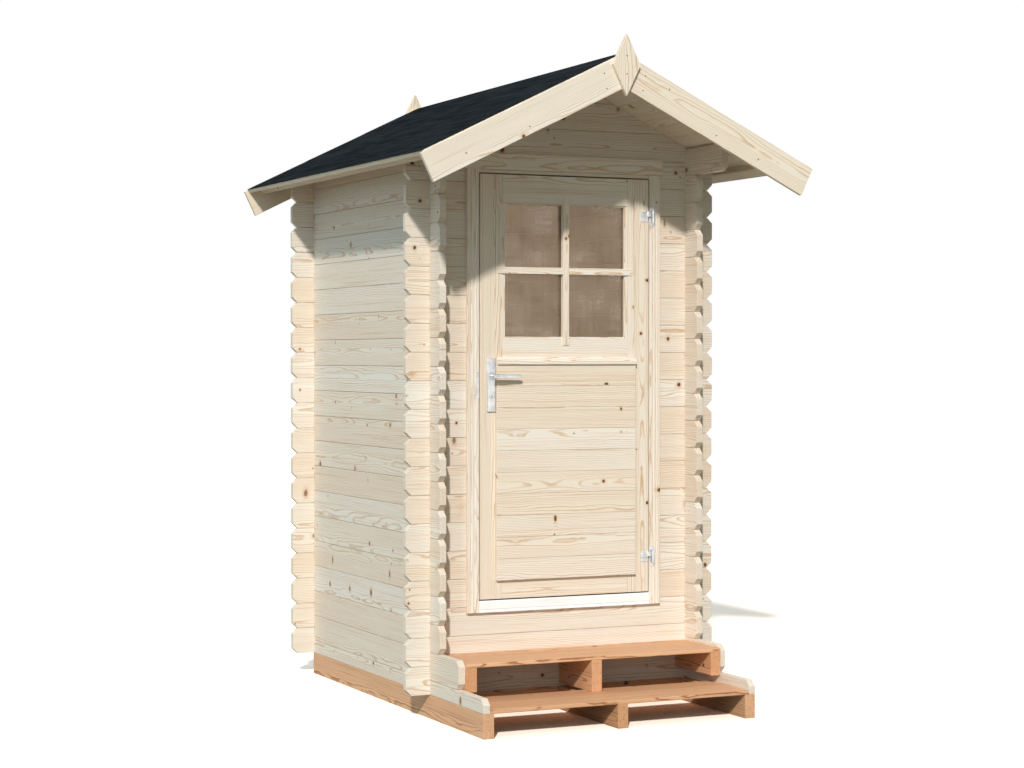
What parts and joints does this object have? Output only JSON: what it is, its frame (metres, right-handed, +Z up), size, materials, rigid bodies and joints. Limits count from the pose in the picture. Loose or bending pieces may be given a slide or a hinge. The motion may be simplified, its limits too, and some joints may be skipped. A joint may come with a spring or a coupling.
{
  "type": "garden shed",
  "caption": "Small log garden shed on joists, with a gabled felt roof, a glazed and panelled door that swings out, a turning lever handle and two entry steps.",
  "frame": {"origin": "centre of the four log walls in plan, on the ground under the joists", "axes": "+X to the right seen from the front, +Y from the door towards the back wall, +Z up"},
  "size_m": [1.7078, 2.178, 2.6926],
  "materials": {
    "log_wood": "matte",
    "base_wood": "matte",
    "door_wood": "satin",
    "roof_wood": "matte",
    "felt": "matte",
    "glass": "gloss",
    "steel": "satin",
    "sill_metal": "satin"
  },
  "bodies": {
    "shed": {"joist_left": "base_wood", "joist_middle": "base_wood", "joist_right": "base_wood", "header_joists": "base_wood", "lower_tread": "base_wood", "upper_tread": "base_wood", "step_supports": "base_wood", "left_wall": "log_wood", "right_wall": "log_wood", "back_wall": "log_wood", "front_wall_sill": "log_wood", "front_wall_left": "log_wood", "front_wall_right": "log_wood", "front_lintel_log": "log_wood", "front_gable": "log_wood", "floor_bearers": "log_wood", "floor_boards": "log_wood", "door_jamb_left": "door_wood", "door_jamb_right": "door_wood", "door_head": "door_wood", "casing_left": "door_wood", "casing_right": "door_wood", "casing_head": "door_wood", "door_threshold": "sill_metal", "strike_plate": "steel", "hinge_frame_plates": "steel", "roof_boards_left": "roof_wood", "roof_boards_right": "roof_wood", "eave_battens": "roof_wood", "barge_front_left": "roof_wood", "barge_front_right": "roof_wood", "barge_back_left": "roof_wood", "barge_back_right": "roof_wood", "finial_front": "roof_wood", "finial_back": "roof_wood", "felt_left": "felt", "felt_right": "felt"},
    "door": {"door_leaf": "door_wood", "door_panel": "door_wood", "door_ledge": "door_wood", "door_glass": "glass", "glazing_bars": "door_wood", "handle_plates": "steel", "hinge_wings": "steel"},
    "lever": {"door_lever": "steel"}
  },
  "joints": [
    {"name": "door_hinge", "type": "hinge", "parent": "shed", "child": "door", "pos_m": [0.4, -0.728, 1.32], "axis": [0, 0, 1], "range_deg": [0, 110]},
    {"name": "lever_turn", "type": "hinge", "parent": "door", "child": "lever", "pos_m": [-0.336, -0.718, 1.366], "axis": [0, 1, 0], "range_deg": [0, 40], "stiffness_Nm_per_rad": 1.2, "springref_deg": -20.05}
  ]
}
